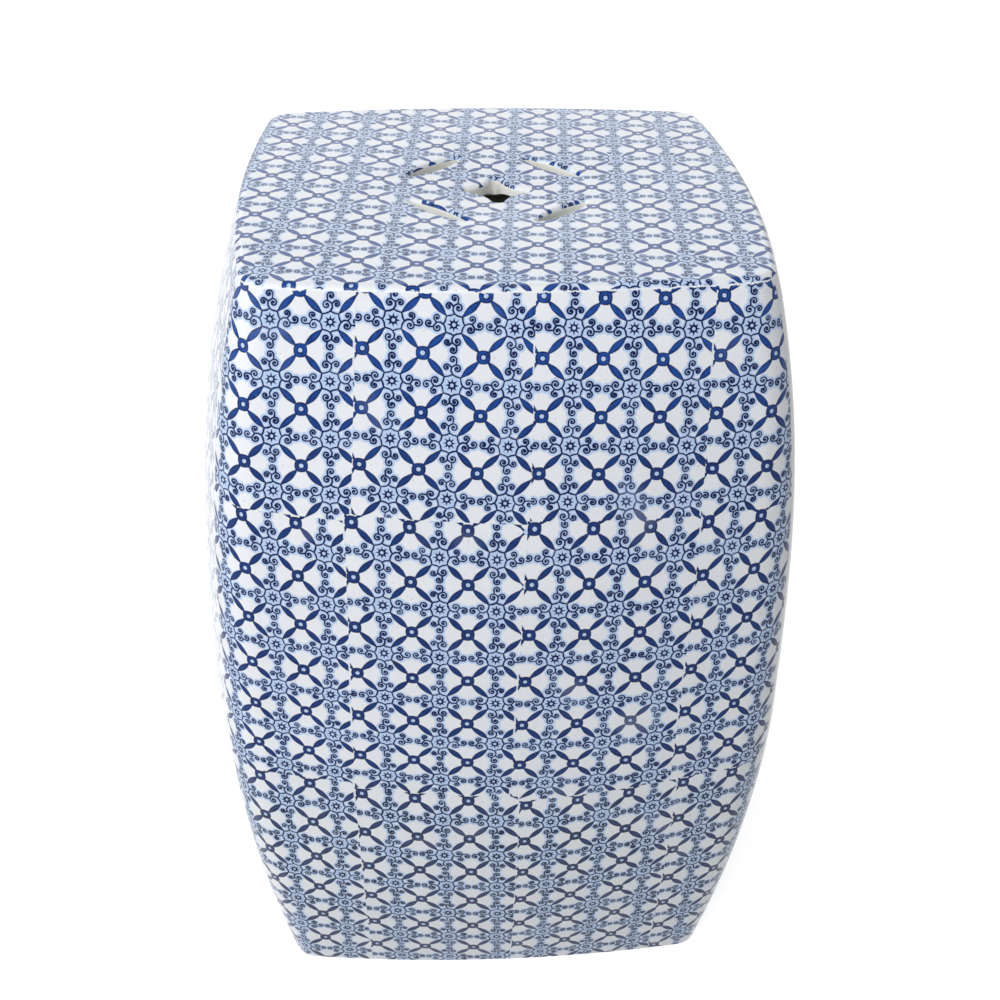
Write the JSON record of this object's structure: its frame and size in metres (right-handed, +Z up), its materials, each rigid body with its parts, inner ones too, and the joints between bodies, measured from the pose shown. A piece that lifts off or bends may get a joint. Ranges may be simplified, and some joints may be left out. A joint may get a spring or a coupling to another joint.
{
  "type": "garden stool",
  "caption": "Square barrel-shaped garden stool of glazed stoneware: bowed walls under a flat pierced seat, open foot ring, blue scroll lattice on white.",
  "frame": {"origin": "on the floor under the middle of the stool, at the centre of the bounding box's base", "axes": "+Z up through the middle of the seat; -Y is the wall that faces the camera in the picture; +X is to its right"},
  "size_m": [0.3442, 0.3442, 0.46],
  "materials": {
    "decorated_glaze": "high gloss clear glaze over a cobalt blue scroll lattice on white",
    "foot_glaze": "white gloss glaze, wiped bare under the foot",
    "inside_glaze": "thin matt glaze over pale stoneware"
  },
  "bodies": {
    "root": {"front_wall": "decorated_glaze", "right_wall": "decorated_glaze", "back_wall": "decorated_glaze", "left_wall": "decorated_glaze", "seat_slab": "decorated_glaze", "foot_ring": "foot_glaze", "seat_seam_strip": "inside_glaze", "foot_seam_strip": "inside_glaze", "front_right_corner_strip": "inside_glaze", "back_right_corner_strip": "inside_glaze", "back_left_corner_strip": "inside_glaze", "front_left_corner_strip": "inside_glaze"}
  },
  "joints": []
}
